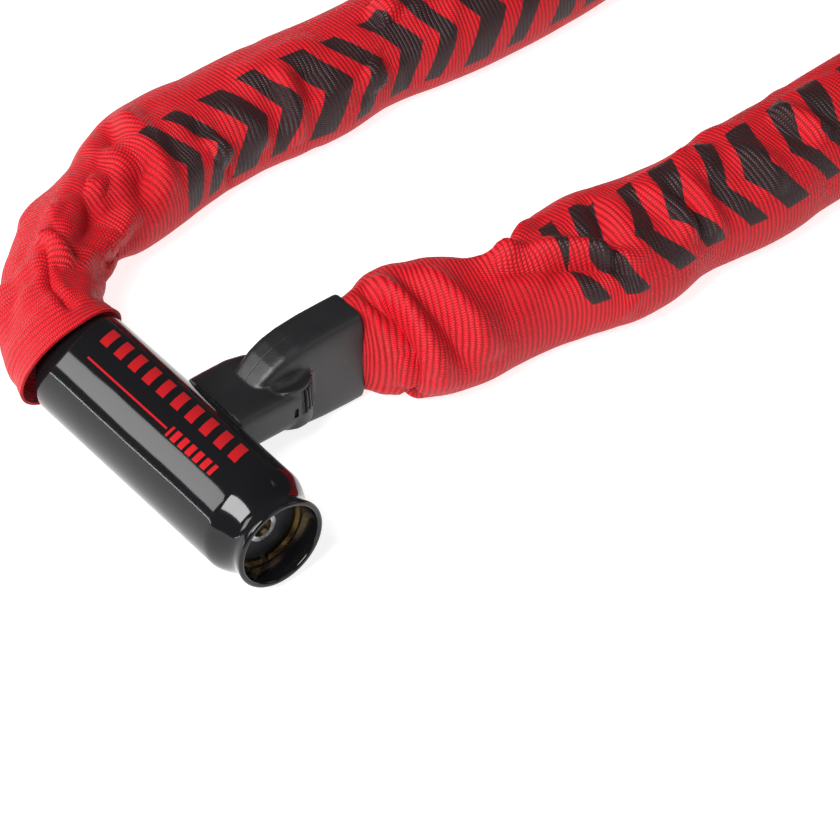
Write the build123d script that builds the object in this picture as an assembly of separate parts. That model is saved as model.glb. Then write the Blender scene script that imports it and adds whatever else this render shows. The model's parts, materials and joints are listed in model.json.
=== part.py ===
from build123d import *
import math
import os

# A chain lock whose chain is fixed to its barrel.  The barrel lies along +Y from its key mouth.  The tongue
# plugs into its side from +X.  Thirty links in a cloth sleeve run from an anchor pin behind the barrel, out
# along the floor, round a wide bend and back to the tongue.  Millimetres, +Z up, with the origin at the
# centre of the key mouth.  It is drawn closed and unlocked: tongue home, deadbolt drawn back.

# ---------------------------------------------------------------- driving dimensions
BARREL_R = 16.0            # outside of the vinyl dip
VINYL = 1.5
BARREL_LEN = 94.0
TUBE_R = BARREL_R - VINYL  # outside of the hardened tube
TUBE_START = 7.0           # the tube starts this far inside the lip
TUBE_END = BARREL_LEN - VINYL
TUBE_CHAMFER = 3.0
BORE_R = 11.2              # inside of the tube
MOUTH_R = 12.0             # inside of the vinyl mouth
NECK_R = 13.0
LIP_R = 13.7
SHOULDER = 13.0            # the barrel has its full size from here back
REAR_EDGE = 5.0            # rounding of the barrel's rear end
FLOOR_Z = -BARREL_R

PRESS = 0.02               # drawn gap of a pressed or trapped piece
FIT = 0.08                 # radial clearance of a running fit
PASS = 0.4                 # clearance where pieces only pass each other

FACE = 8.8                 # front of the hardened face disc
HOUSING = (11.1, 37.2)     # cylinder housing, front to rear
CORE_R = 8.0
CORE = (11.3, 28.0)        # turning core, front to rear
DRUM_R = 6.1               # bore of the core, where the discs sit
KEYHOLE_R = 4.4
DISC_COUNT = 6
DISC = 1.6                 # thickness of a disc
SPACER = 0.6
SLEEVE_END = 37.0          # rear of the drive sleeve
THROW = 6.0                # deadbolt travel for a quarter turn of the core
BOLT_R = 5.07
CROSS_PIN_R = 1.5          # pins through the tube's wall
HOUSING_PIN_Y = 24.0
PLUG_PIN_Y = 74.0
NOSE_R = 3.0
NOSE_FLAT = 2.4            # the nose's flats stop the bolt turning
BOLT_PIN_R = 1.4
BOLT_PIN_Y = 29.6
GUIDE = (37.2, 40.2)       # plate that the nose slides through
SOCKET = (40.2, 64.0)      # block that the tongue plugs into

TONGUE_Y = 51.0            # the tongue's axis, measured along the barrel
BLADE = (18.0, 9.0)        # width and height of the blade
BLADE_TIP = -8.5
SHANK = (11.6, 18.0)       # width and height of the shank that holds the last link
SHANK_SPAN = (35.0, 58.0)
CLEVIS_FROM = 40.4
PIN_X = 52.0
TONGUE_PIN_R = 3.5
BOOT_START = 14.6
BOOT_END = 62.0
BOOT_NEAR = (25.0, 14.0)   # width and height beside the barrel
BOOT_FAR = (14.6, 31.6)    # width and height where the sleeve goes in
BOOT_GAP = 0.9             # the boot stands off the barrel by this much

WIRE = 7.0                 # four-sided chain, across its flats
WIRE_EDGE = 2.6            # rounding of the wire's edges
LINK_IN = 28.0             # inside length of a link
LINK_EYE = 10.0            # inside width of a link
PLAY = 0.55                # a wire stays this far off the end of the eye it lies in
SLACK = 4.5                # the first arm lies looser than that by this much at every flat link
VERTICAL_STEP = LINK_IN + WIRE
FLAT_STEP = LINK_IN - WIRE - 2 * PLAY
ANCHOR = Vector(0, BARREL_LEN + 3.0, 0)
ANCHOR_PIN_R = 3.75
EAR = (6.8, 8.3)           # half width and half height of the two ears that hold the anchor pin
SLOT = 4.1                 # half height of the slot that a flat link swings in

SLEEVE = (36.0, 30.0)      # width and height of the sleeve's plain outline
SLEEVE_WALL = 1.1
SLEEVE_Z = FLOOR_Z + SLEEVE[1] / 2
SLEEVE_JOIN = 0.4          # gap where a long sleeve is drawn as two lengths
PIVOT_GAPS = (8.0, 9.0, 9.0, 12.0)  # sleeve left off beside each of the four chain pivots

# ---------------------------------------------------------------- small helpers


def along_y(radius, start, end):
    """A round bar on the barrel's axis."""
    return extrude(Plane(origin=(0, start, 0), z_dir=(0, 1, 0)) * Circle(radius), end - start)


def ring_y(outer, inner, start, end):
    """A ring on the barrel's axis."""
    return along_y(outer, start, end) - along_y(inner, start - 1, end + 1)


def bar_between(radius, first, second):
    """A round bar between two points."""
    axis = Vector(*second) - Vector(*first)
    return extrude(Plane(origin=first, z_dir=axis) * Circle(radius), axis.length)


def block(x_span, y_span, z_span):
    """A box given by its low and high side on each axis."""
    spans = (x_span, y_span, z_span)
    centre = [(low + high) / 2 for low, high in spans]
    return Pos(*centre) * Box(*[high - low for low, high in spans])


def spin_y(*corners):
    """An outline of (radius, y) corners turned round the barrel's axis."""
    return revolve(make_face(Polyline(*corners, close=True)), Axis.Y)


def about(centre, width):
    """A span of the given width about a centre."""
    return (centre - width / 2, centre + width / 2)


# ---------------------------------------------------------------- the chain's route
# Vertical links stand on edge, and the chain turns sideways only on their end wires.  So the route is a
# string of points on those wires, joined by flat and vertical links in turn.

NEAR_BEND = (75, 42)       # headings of the two links behind the barrel, flat then vertical
ARM_A = (8, 12, 4, 2, 0, -6, 5, 6, -6, -8, 8, -2, -26)
AFTER_FAR = -112           # heading of the vertical link after the far pair
ARM_B_FROM_BOOT = (0, -24, -8, 4, 4, -3, 0, 2, 0, 0)
PIN_STEP = VERTICAL_STEP - WIRE / 2 - TONGUE_PIN_R - PLAY


def step(point, heading, length):
    angle = math.radians(heading)
    return point + Vector(math.cos(angle), math.sin(angle), 0) * length


def heading_of(first, second):
    return math.degrees(math.atan2(second.Y - first.Y, second.X - first.X))


def lay(start, headings, flat_first, flat_step=FLAT_STEP, first_step=None):
    """Lay links end to end from start, and return the points between them."""
    points = [start]
    for index, heading in enumerate(headings):
        flat = flat_first == (index % 2 == 0)
        length = flat_step if flat else VERTICAL_STEP
        if index == 0 and first_step is not None:
            length = first_step
        points.append(step(points[-1], heading, length))
    return points


def closing_point(first, second, first_length, second_length):
    """The outer corner of the triangle that the last two links make with the gap they close."""
    gap = (second - first).length
    lean = math.acos((first_length**2 + gap**2 - second_length**2) / (2 * first_length * gap))
    return step(first, heading_of(first, second) + math.degrees(lean), first_length)


near = lay(ANCHOR, NEAR_BEND, True)
arm_a = lay(near[-1], ARM_A, True, FLAT_STEP - SLACK)
# The far pair spans the same length as the near pair, with the sideways part reversed.  When the near pair
# swings one way and the far pair the other, the tongue leaves the barrel in a straight line.
far = lay(arm_a[-1], (-NEAR_BEND[1], -NEAR_BEND[0]), False)
after_far = lay(far[-1], (AFTER_FAR,), False)
from_boot = lay(Vector(PIN_X, TONGUE_Y, 0), ARM_B_FROM_BOOT, False, first_step=PIN_STEP)
corner = closing_point(after_far[-1], from_boot[-1], FLAT_STEP, VERTICAL_STEP)
arm_b = after_far + [corner] + from_boot[::-1]


# ---------------------------------------------------------------- chain links


def make_link():
    """One link in the XY plane: two straight bars and two half rings of a rounded four-sided wire."""
    mid_radius = (LINK_EYE + WIRE) / 2
    straight = LINK_IN - LINK_EYE
    section = RectangleRounded(WIRE, WIRE, WIRE_EDGE)
    link = None
    for side in (-1, 1):
        bar_start = Plane(origin=(-straight / 2, side * mid_radius, 0), z_dir=(1, 0, 0))
        bar = extrude(bar_start * section, straight)
        link = bar if link is None else link + bar
        centre = Vector(side * straight / 2, 0, 0)
        ring_start = Plane(origin=centre + Vector(0, mid_radius, 0), z_dir=(1, 0, 0))
        link += revolve(ring_start * section, Axis(centre, (0, 0, -side)), 180)
    return link


LINK = make_link()


def place_link(first, second, flat, overshoot=0.0):
    """A link midway between two route points, lying flat or standing on edge."""
    heading = heading_of(first, second)
    middle = step((first + second) * 0.5, heading, overshoot)
    return Pos(*middle) * Rot(0, 0, heading) * Rot(0 if flat else 90, 0, 0) * LINK


def make_links():
    """Every link in order from the barrel to the tongue."""
    links = []
    for points in (near, arm_a, far, arm_b):
        for first, second in zip(points, points[1:]):
            last = second is arm_b[-1]
            overshoot = (VERTICAL_STEP - PIN_STEP) / 2 if last else 0.0
            links.append(place_link(first, second, len(links) % 2 == 0, overshoot))
    return links


# ---------------------------------------------------------------- barrel


def link_pocket():
    """The room that the first link swings in, behind and inside the barrel's rear end."""
    swing = LINK_EYE / 2 + WIRE + 1.3
    around_pin = bar_between(swing, ANCHOR - Vector(0, 0, SLOT), ANCHOR + Vector(0, 0, SLOT))
    across_end = block((-17, 17), (BARREL_LEN - 3.6, BARREL_LEN + 1), (-SLOT, SLOT))
    return around_pin + across_end


def tongue_window(extra):
    """The opening in the barrel's side for the tongue's blade."""
    return block((0, 20), about(TONGUE_Y, BLADE[0] + 2 * extra), (-BLADE[1] / 2 - extra, BLADE[1] / 2 + extra))


def make_barrel_cover():
    """The vinyl dip, with a flared lip, a neck and a shoulder in front and a rounded rear end."""
    outside = [
        Line((MOUTH_R, 0), (LIP_R, 0)),
        Spline((LIP_R, 0), (NECK_R, 4.2), (BARREL_R, SHOULDER), tangents=[(-0.3, 1), (0, 1)]),
        Line((BARREL_R, SHOULDER), (BARREL_R, BARREL_LEN - REAR_EDGE)),
        RadiusArc((BARREL_R, BARREL_LEN - REAR_EDGE), (BARREL_R - REAR_EDGE, BARREL_LEN), -REAR_EDGE),
    ]
    inside = Polyline(
        (BARREL_R - REAR_EDGE, BARREL_LEN),
        (BARREL_R - REAR_EDGE, TUBE_END),
        (TUBE_R - TUBE_CHAMFER, TUBE_END),
        (TUBE_R, TUBE_END - TUBE_CHAMFER),
        (TUBE_R, TUBE_START + TUBE_CHAMFER),
        (MOUTH_R, TUBE_START),
        (MOUTH_R, 0),
    )
    cover = revolve(make_face([*outside, *inside.edges()]), Axis.Y)
    return cover - tongue_window(1.4) - link_pocket()


def make_barrel_tube():
    tube = spin_y(
        (BORE_R, TUBE_START),
        (MOUTH_R, TUBE_START),
        (TUBE_R, TUBE_START + TUBE_CHAMFER),
        (TUBE_R, TUBE_END - TUBE_CHAMFER),
        (TUBE_R - TUBE_CHAMFER, TUBE_END),
        (BORE_R, TUBE_END),
    )
    return tube - tongue_window(PASS) - link_pocket() - cross_pin_hole(HOUSING_PIN_Y) - cross_pin_hole(PLUG_PIN_Y)


def cross_pin_hole(y):
    return bar_between(CROSS_PIN_R + PRESS, (0, y, CORE_R + 0.8), (0, y, TUBE_R + 1))


def cross_pin(y):
    """A pin through the tube's wall that holds an inner piece in place."""
    return bar_between(CROSS_PIN_R, (0, y, CORE_R + 0.9), (0, y, TUBE_R - 0.1))


def make_rear_plug():
    """The plug at the rear, with two ears outside that hold the anchor pin."""
    plug = along_y(BORE_R - PRESS, SOCKET[1] + PRESS, TUBE_END)
    ears = block((-EAR[0], EAR[0]), (TUBE_END - 1, ANCHOR.Y + 6.5), (-EAR[1], EAR[1]))
    body = plug + fillet(ears.edges().filter_by(Axis.Z).sort_by(Axis.Y)[-2:], 4)
    pin_hole = bar_between(ANCHOR_PIN_R + PRESS, ANCHOR - Vector(0, 0, 20), ANCHOR + Vector(0, 0, 20))
    beyond = block((-17, 17), (ANCHOR.Y - 1, ANCHOR.Y + 10), (-SLOT, SLOT))
    return body - link_pocket() - beyond - pin_hole - cross_pin_hole(PLUG_PIN_Y)


def make_anchor_pin():
    return bar_between(ANCHOR_PIN_R, ANCHOR - Vector(0, 0, EAR[1]), ANCHOR + Vector(0, 0, EAR[1]))


def make_face_disc():
    return ring_y(BORE_R - PRESS, KEYHOLE_R + FIT, FACE, HOUSING[0])


def make_front_ring():
    """A split ring in front of the face disc."""
    ring = ring_y(BORE_R - PRESS, 10.2, FACE - 1.0, FACE)
    return ring - block((-1, 1), (FACE - 2, FACE + 1), (-12, -9))


def make_housing():
    housing = ring_y(BORE_R - PRESS, CORE_R + FIT, *HOUSING)
    return housing - cross_pin_hole(HOUSING_PIN_Y)


def nose_outline(clearance):
    circle = Circle(NOSE_R + clearance)
    return circle & Rectangle(2 * (NOSE_FLAT + clearance), 4 * NOSE_R)


def nose(start, end, clearance=0.0):
    plane = Plane(origin=(0, start, 0), x_dir=(1, 0, 0), z_dir=(0, 1, 0))
    return extrude(plane * nose_outline(clearance), end - start)


def make_bolt_guide():
    return along_y(BORE_R - PRESS, *GUIDE) - nose(GUIDE[0] - 1, GUIDE[1] + 1, FIT)


def make_socket_block():
    """The block that takes the tongue's blade, with a hole for the bolt's nose in its front wall."""
    pocket = block((BLADE_TIP - 0.7, 20), about(TONGUE_Y, BLADE[0] + 2 * PASS), about(0, BLADE[1] + 2 * PASS))
    return along_y(BORE_R - PRESS, *SOCKET) - pocket - along_y(NOSE_R + PASS, SOCKET[0] - 1, TONGUE_Y)


# ---------------------------------------------------------------- turning core


def make_core_drum():
    drum = along_y(CORE_R, *CORE) - along_y(DRUM_R, CORE[0] + 1, CORE[1] - 1) - along_y(KEYHOLE_R, 0, CORE[0] + 2)
    return drum - block((-1, 1), (CORE[0] + 1.5, CORE[1] - 1.5), (DRUM_R - 1, CORE_R + 1))


def make_keyhole_ring():
    ring = ring_y(KEYHOLE_R, 3.0, FACE - 0.2, CORE[0] + 1)
    return ring + block((-3.05, -2.2), (FACE + 0.6, CORE[0] + 1), (-1.2, 1.2))


def make_discs():
    """Rotating discs, each with its key slot, its gate under the sidebar and a shallow false gate."""
    discs = []
    for index in range(DISC_COUNT):
        start = CORE[0] + 1.6 + index * (DISC + SPACER)
        disc = along_y(DRUM_R - FIT, start, start + DISC)
        disc -= block((-3.4, 3.4), (start - 1, start + 3), (-1.1, 1.1))
        disc -= block((-1.0, 1.0), (start - 1, start + 3), (DRUM_R - 1.0, DRUM_R + 1))
        false_gate = block((-0.7, 0.7), (start - 1, start + 3), (DRUM_R - 0.5, DRUM_R + 1))
        disc -= Rot(0, 70 + 31 * index, 0) * false_gate
        discs.append(disc)
    return Compound(discs)


def make_spacers():
    spacers = []
    for index in range(DISC_COUNT - 1):
        start = CORE[0] + 1.6 + DISC + index * (DISC + SPACER)
        spacers.append(ring_y(DRUM_R - FIT, 4.2, start, start + SPACER) - sidebar_room(start))
    return Compound(spacers)


def sidebar_room(start):
    return block((-1.0, 1.0), (start - 1, start + 3), (DRUM_R - 1.0, DRUM_R + 1))


def make_sidebar():
    return block((-0.9, 0.9), (CORE[0] + 1.7, CORE[1] - 1.7), (DRUM_R - 0.8, CORE_R - 0.15))


def make_drive_sleeve():
    """The rear of the core.  Its two spiral slots push the bolt's cross pin along as the core turns."""
    sleeve = ring_y(CORE_R - 0.1, BOLT_R + FIT, CORE[1], SLEEVE_END)
    steps = 14
    for index in range(steps + 1):
        share = index / steps
        y = BOLT_PIN_Y + THROW * share
        cutter = bar_between(BOLT_PIN_R + 0.16, (-10, y, 0), (10, y, 0))
        sleeve -= Rot(0, 90 * share, 0) * cutter
    return sleeve


# ---------------------------------------------------------------- deadbolt


def make_deadbolt():
    shaft = along_y(BOLT_R, CORE[1] + 0.2, SLEEVE_END - THROW - 0.1)
    pin_hole = bar_between(BOLT_PIN_R + PRESS, (-10, BOLT_PIN_Y, 0), (10, BOLT_PIN_Y, 0))
    return shaft + nose(SLEEVE_END - THROW - 0.2, SOCKET[0] + 0.7) - pin_hole


def make_bolt_pin():
    return bar_between(BOLT_PIN_R, (-7.4, BOLT_PIN_Y, 0), (7.4, BOLT_PIN_Y, 0))


# ---------------------------------------------------------------- tongue and boot


def make_tongue():
    """A forged tongue: a flat blade with the bolt's hole, and a clevis for the last link."""
    half = BLADE[0] / 2
    blade = block((BLADE_TIP, SHANK_SPAN[0] + 1), (TONGUE_Y - half, TONGUE_Y + half), about(0, BLADE[1]))
    blade = chamfer(blade.edges().filter_by(Axis.Y).sort_by(Axis.X)[:2], 1.2)
    shank = block(SHANK_SPAN, about(TONGUE_Y, SHANK[0]), about(0, SHANK[1]))
    shank = fillet(shank.edges().filter_by(Axis.Y), 3)
    clevis = block((CLEVIS_FROM, SHANK_SPAN[1] + 1), about(TONGUE_Y, WIRE + 2 * PASS), (-20, 20))
    bolt_hole = along_y(NOSE_R + PASS, TONGUE_Y - half - 1, TONGUE_Y - half + THROW + 0.6)
    pin_hole = bar_between(TONGUE_PIN_R + PRESS, (PIN_X, 0, 0), (PIN_X, 90, 0))
    return blade + shank - clevis - bolt_hole - pin_hole


def make_tongue_pin():
    low, high = about(TONGUE_Y, SHANK[0])
    return bar_between(TONGUE_PIN_R, (PIN_X, low, 0), (PIN_X, high, 0))


def boot_section(x, width, height, corner_radius, y=TONGUE_Y, z=0.0):
    plane = Plane(origin=(x, y, z), x_dir=(0, 1, 0), z_dir=(1, 0, 0))
    return plane * RectangleRounded(width, height, corner_radius)


def make_boot():
    """The rubber boot: wide and low beside the barrel, then narrow and tall for the standing link."""
    low_end = boot_section(30, *BOOT_NEAR, 3.5)
    low = extrude(boot_section(BOOT_START - 3, *BOOT_NEAR, 3.5), 33 - BOOT_START) + loft(
        [low_end, boot_section(47, BOOT_FAR[0] - 2, BOOT_NEAR[1] - 2, 3.5)]
    )
    tall = extrude(boot_section(45, *BOOT_FAR, 3.5), BOOT_END - 45) + loft(
        [boot_section(27, BOOT_FAR[0] - 1, BOOT_NEAR[1] - 1, 3.5), boot_section(45, *BOOT_FAR, 3.5)]
    )
    grip_low = TONGUE_Y - BOOT_NEAR[0] / 2
    grip = block((29, 46), (grip_low, TONGUE_Y), (-BOOT_NEAR[1] / 2, BOOT_NEAR[1] / 2 - 2))
    grip = fillet(grip.edges().filter_by(Axis.Y).sort_by(Axis.X)[-2:], 5)
    boot = low + tall + grip
    boot -= block((CLEVIS_FROM, BOOT_END + 1), about(TONGUE_Y, WIRE + 2 * PASS), (-12.6, 12.6))
    boot -= block((0, SHANK_SPAN[0]), about(TONGUE_Y, BLADE[0]), about(0, BLADE[1]))
    return boot - along_y(BARREL_R + BOOT_GAP, 0, BARREL_LEN) - make_tongue() - make_tongue_pin()


# ---------------------------------------------------------------- sleeve


def trimmed(points, start_gap, end_gap):
    """The route with a length taken off each end, and no three points in line."""
    kept = [p for p, a, b in zip(points[1:], points, points[2:]) if abs(heading_of(a, p) - heading_of(p, b)) > 1]
    first = step(points[0], heading_of(points[0], points[1]), start_gap)
    last = step(points[-1], heading_of(points[-1], points[-2]), end_gap)
    return [first] + kept + [last]


def make_sleeve(points):
    """A plain closed tube of cloth along a route, of straight runs joined by arcs."""
    lifted = [Vector(p.X, p.Y, SLEEVE_Z) for p in points]
    radii = []
    for before, here, after in zip(lifted, lifted[1:], lifted[2:]):
        turn = math.radians((here - before).get_angle(after - here))
        shorter = min((here - before).length, (after - here).length)
        radii.append(0.45 * shorter / math.tan(turn / 2))
    path = FilletPolyline(*lifted, radius=radii) if radii else Line(*lifted)
    start = Plane(origin=path @ 0, x_dir=(path % 0).cross(Vector(0, 0, 1)), z_dir=path % 0)
    outside = Ellipse(SLEEVE[0] / 2, SLEEVE[1] / 2)
    inside = Ellipse(SLEEVE[0] / 2 - SLEEVE_WALL, SLEEVE[1] / 2 - SLEEVE_WALL)
    return sweep(start * (outside - inside), path=path)


def two_lengths(points, index, start_gap, end_gap):
    """The two sleeves of a long arm, which meet halfway between the indexed point and the next."""
    middle = (points[index] + points[index + 1]) * 0.5
    first = trimmed(points[: index + 1] + [middle], start_gap, SLEEVE_JOIN / 2)
    second = trimmed([middle] + points[index + 1 :], SLEEVE_JOIN / 2, end_gap)
    return make_sleeve(first), make_sleeve(second)


def make_sleeves():
    near_gap, arm_gap, far_gap, end_gap = PIVOT_GAPS
    boot_mouth = BOOT_END - PIN_X + 0.3
    arm_a_near, arm_a_far = two_lengths(arm_a, len(arm_a) // 2, arm_gap, far_gap)
    end_bend, arm_b_length = two_lengths(arm_b, 2, end_gap, boot_mouth)
    return {
        "sleeve_near": make_sleeve(trimmed(near, near_gap, arm_gap)),
        "sleeve_arm_a_near": arm_a_near,
        "sleeve_arm_a_far": arm_a_far,
        "sleeve_far_bend": make_sleeve(trimmed(far, far_gap, end_gap)),
        "sleeve_end_bend": end_bend,
        "sleeve_arm_b": arm_b_length,
    }


# ---------------------------------------------------------------- all the nodes


def main():
    nodes = {
        "barrel_cover": make_barrel_cover(),
        "barrel_tube": make_barrel_tube(),
        "rear_plug": make_rear_plug(),
        "anchor_pin": make_anchor_pin(),
        "front_ring": make_front_ring(),
        "face_disc": make_face_disc(),
        "cylinder_housing": make_housing(),
        "housing_pin": cross_pin(HOUSING_PIN_Y),
        "plug_pin": cross_pin(PLUG_PIN_Y),
        "bolt_guide": make_bolt_guide(),
        "tongue_socket": make_socket_block(),
        "core_drum": make_core_drum(),
        "keyhole_ring": make_keyhole_ring(),
        "detainer_discs": make_discs(),
        "disc_spacers": make_spacers(),
        "sidebar": make_sidebar(),
        "drive_sleeve": make_drive_sleeve(),
        "deadbolt": make_deadbolt(),
        "bolt_pin": make_bolt_pin(),
        "tongue": make_tongue(),
        "tongue_pin": make_tongue_pin(),
        "boot": make_boot(),
    }
    for index, link in enumerate(make_links(), start=1):
        nodes[f"chain_link_{index:02d}"] = link
    nodes.update(make_sleeves())
    os.makedirs("parts", exist_ok=True)
    for name, shape in nodes.items():
        export_step(shape, f"parts/{name}.step")
    for name, point in (("anchor", near[0]), ("near", near[-1]), ("far", far[0]), ("end", far[-1])):
        print(name, "pivot", round(point.X, 3), round(point.Y, 3))
    print("links", len(arm_a) + len(arm_b) + 2, "closing headings", heading_of(arm_b[1], corner))
    print("far pair spans", far[-1] - far[0], "near pair spans", near[-1] - near[0])


if __name__ == "__main__":
    main()
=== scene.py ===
# %% [markdown]
# # A chain lock in a red cloth sleeve
# A short black barrel takes a key at one end. A chain is fixed to its other end and comes back to plug into
# the barrel's side, with a rubber boot over the joint. A ribbed nylon sleeve covers the chain. The solid
# parts come from the frame, and this file makes what the eye rests on: the cloth, the boot, the vinyl skin,
# and every finish.

# %% Load the frame
import json
import math

import bmesh
import bpy
import numpy as np
from mathutils import Matrix, Vector
from mathutils.bvhtree import BVHTree


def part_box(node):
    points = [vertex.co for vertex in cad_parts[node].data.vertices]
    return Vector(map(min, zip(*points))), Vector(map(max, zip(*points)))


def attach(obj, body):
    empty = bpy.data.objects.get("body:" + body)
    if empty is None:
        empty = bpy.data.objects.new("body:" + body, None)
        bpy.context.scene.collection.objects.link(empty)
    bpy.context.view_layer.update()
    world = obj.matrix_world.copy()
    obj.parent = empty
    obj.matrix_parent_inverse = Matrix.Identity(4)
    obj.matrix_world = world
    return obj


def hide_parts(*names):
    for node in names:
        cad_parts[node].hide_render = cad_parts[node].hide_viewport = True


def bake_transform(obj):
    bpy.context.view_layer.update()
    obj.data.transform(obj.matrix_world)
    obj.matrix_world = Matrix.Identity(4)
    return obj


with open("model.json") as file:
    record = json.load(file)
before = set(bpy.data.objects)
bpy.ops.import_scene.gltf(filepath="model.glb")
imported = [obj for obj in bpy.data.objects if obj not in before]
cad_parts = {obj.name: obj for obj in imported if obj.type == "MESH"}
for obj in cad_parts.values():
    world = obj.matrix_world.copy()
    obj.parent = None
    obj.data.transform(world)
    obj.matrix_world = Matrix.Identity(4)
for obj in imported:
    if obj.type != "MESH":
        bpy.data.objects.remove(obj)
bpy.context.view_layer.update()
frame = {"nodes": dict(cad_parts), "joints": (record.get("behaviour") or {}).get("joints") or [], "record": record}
MM = 0.001

# %% [markdown]
# Sizes that more than one piece needs are read from the frame: the barrel's radius and length, the floor
# that it lies on, and the two pivots that the chain's first length swings on.

# %% Shared sizes
barrel_low, barrel_high = (Vector(corner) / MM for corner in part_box("barrel_cover"))
BARREL_R = (barrel_high.x - barrel_low.x) / 2
BARREL_LEN = barrel_high.y
FLOOR = -BARREL_R
pivots = {
    joint["name"]: Vector(joint["pos_m"]) / MM for joint in frame["joints"] if joint["type"] == "hinge"
}
ANCHOR, NEAR_PIVOT = pivots["chain_open"], pivots["near_link_pivot"]
BOOT_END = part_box("boot")[1][0] / MM
TONGUE_Y = (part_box("tongue")[0][1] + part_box("tongue")[1][1]) / 2 / MM
print("barrel", BARREL_R, BARREL_LEN)
print("boot ends at", round(BOOT_END, 1), "and the tongue's axis is at", round(TONGUE_Y, 1))


# %% [markdown]
# ## Small helpers
# Meshes are worked out in millimetres, because that is how the parts are measured, and are scaled to metres
# in one place. `finish_mesh` turns a bmesh into an object, and `paint` gives it a material.


# %% From bmesh to object
def finish_mesh(name, bm, smooth=True):
    """A new object from a bmesh in millimetres."""
    bmesh.ops.transform(bm, matrix=Matrix.Scale(MM, 4), verts=bm.verts)
    mesh = bpy.data.meshes.new(name)
    bm.to_mesh(mesh)
    bm.free()
    mesh.polygons.foreach_set("use_smooth", [smooth] * len(mesh.polygons))
    piece = bpy.data.objects.new(name, mesh)
    bpy.context.scene.collection.objects.link(piece)
    return piece


def apply_modifiers(piece):
    """Keep the shape that the modifiers give and drop the modifiers."""
    graph = bpy.context.evaluated_depsgraph_get()
    mesh = bpy.data.meshes.new_from_object(piece.evaluated_get(graph))
    piece.modifiers.clear()
    piece.data = mesh
    return piece


def paint(piece, material):
    piece.data.materials.clear()
    piece.data.materials.append(material)


def ease(t):
    """0 to 1 with a level start and end."""
    return t * t * (3 - 2 * t)


# %% [markdown]
# ## Camera, floor and light
# The lock lies on a white table and is seen from its front left, from well above and through a long lens, so
# its edges stay nearly parallel. The key light is a large square, high on the left. A tall soft light behind
# it draws the long grey streak on the vinyl, and a thin strip low behind draws the fine line beside that. Two
# weak lights, in front and on the right, keep the mouth and the boot readable.

# %% Camera
AZIMUTH, ELEVATION = math.radians(-38.66), math.radians(43.05)
CAMERA_AT = (-0.4680, -0.6428, 0.7870)
LENS = 182.8       # mm
camera = bpy.data.objects.new("camera", bpy.data.cameras.new("camera"))
bpy.context.scene.collection.objects.link(camera)
camera.location = CAMERA_AT
camera.rotation_euler = (math.pi / 2 - ELEVATION, 0, AZIMUTH)
camera.data.lens = LENS
camera.data.clip_start = 0.05
bpy.context.scene.camera = camera
bpy.context.scene.view_settings.view_transform = "Standard"

# %% Floor and lights
FLOOR_HALF = 6000  # mm
floor_mesh = bmesh.new()
bmesh.ops.create_grid(floor_mesh, x_segments=1, y_segments=1, size=FLOOR_HALF)
bmesh.ops.translate(floor_mesh, vec=(0, 0, FLOOR), verts=floor_mesh.verts)
floor = finish_mesh("floor", floor_mesh)
floor_material = bpy.data.materials.new("floor white")
floor_material.use_nodes = True
floor_shader = floor_material.node_tree.nodes["Principled BSDF"]
floor_shader.inputs["Base Color"].default_value = (0.45, 0.45, 0.45, 1)
floor_shader.inputs["Roughness"].default_value = 0.9
floor_shader.inputs["Specular IOR Level"].default_value = 0.0
floor_shader.inputs["Emission Color"].default_value = (1, 1, 1, 1)
floor_shader.inputs["Emission Strength"].default_value = 0.82
paint(floor, floor_material)


def soft_light(name, direction, distance, size, power, tall=None):
    """A rectangular light that stands in a direction from the lock and faces it."""
    light = bpy.data.objects.new(name, bpy.data.lights.new(name, "AREA"))
    bpy.context.scene.collection.objects.link(light)
    direction = Vector(direction).normalized()
    light.location = direction * distance
    light.rotation_euler = direction.to_track_quat("Z", "Y").to_euler()
    light.data.shape = "RECTANGLE"
    light.data.size = size
    light.data.size_y = tall or size
    light.data.energy = power
    return light


soft_light("tall light behind left", (-0.60, 0.60, 0.50), 1.6, 0.62, 11, tall=0.8)
soft_light("thin strip behind left", (-0.83, 0.55, 0.035), 1.6, 0.9, 1.6, tall=0.03)
soft_light("key from upper left", (-0.62, -0.12, 0.80), 1.7, 0.9, 46)
soft_light("front fill", (0.35, -0.9, 0.65), 2.2, 1.2, 6)
soft_light("right fill", (0.95, -0.35, 0.6), 2.4, 0.9, 4)

world = bpy.data.worlds.new("studio")
bpy.context.scene.world = world
world.use_nodes = True
world.node_tree.nodes["Background"].inputs["Color"].default_value = (1, 1, 1, 1)
world.node_tree.nodes["Background"].inputs["Strength"].default_value = 0.08

# %% [markdown]
# ## Node helpers
# Each finish is a node tree. These few lines add a node, wire it and set its values, so that the trees below
# read as a list of steps. `new_group` makes a shader group whose sockets have names.


# %% Node helpers
def add(tree, kind, links=(), **values):
    """A node with its properties set and its inputs linked or filled, by name or number."""
    node = tree.nodes.new(kind)
    for key, value in values.items():
        setattr(node, key, value)
    for socket, value in dict(links).items():
        target = node.inputs[socket]
        if isinstance(value, bpy.types.NodeSocket):
            tree.links.new(value, target)
        else:
            target.default_value = value
    return node


def sums(tree, operation, *values):
    """The result socket of one Math node."""
    return add(tree, "ShaderNodeMath", enumerate(values), operation=operation).outputs[0]


def band(tree, value, low, high, soft):
    """1 where value lies between low and high, with soft edges."""
    rise = add(tree, "ShaderNodeMapRange", {"Value": value, "From Min": low - soft, "From Max": low + soft})
    fall = add(
        tree,
        "ShaderNodeMapRange",
        {"Value": value, "From Min": high - soft, "From Max": high + soft, "To Min": 1.0, "To Max": 0.0},
    )
    return sums(tree, "MULTIPLY", rise.outputs[0], fall.outputs[0])


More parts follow.
